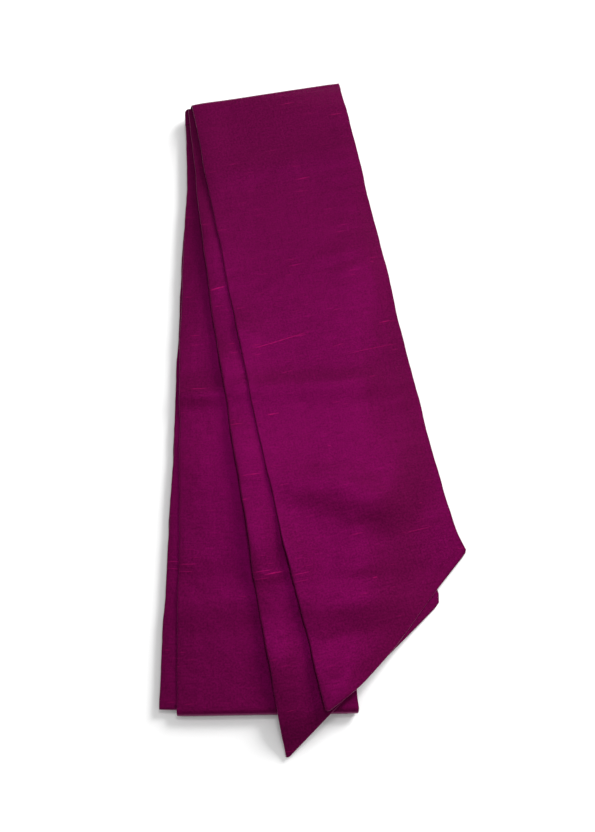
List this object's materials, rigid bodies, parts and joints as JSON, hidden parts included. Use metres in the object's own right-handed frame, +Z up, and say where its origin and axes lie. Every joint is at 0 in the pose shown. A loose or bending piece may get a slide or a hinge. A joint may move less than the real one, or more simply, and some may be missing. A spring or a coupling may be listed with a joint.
{
  "type": "folded satin sash",
  "caption": "Long flat tube of slubbed silk with slanted ends, folded in half and in thirds, lying flat as a wearable sash, scarf or tie belt.",
  "frame": {"origin": "on the surface that the sash lies on, under the middle of its bounding box", "axes": "+Z up from the surface, +Y from the slanted ends to the top folds, +X to the right as seen from above with the folds at the far end"},
  "size_m": [0.178, 0.4439, 0.0149],
  "materials": {
    "silk": "slubbed silk with a satin sheen, deep magenta purple"
  },
  "bodies": {
    "root": {"front_tail": "silk", "back_tail": "silk", "outer_loop": "silk", "inner_loop": "silk", "hidden_layers": "silk"}
  },
  "joints": []
}
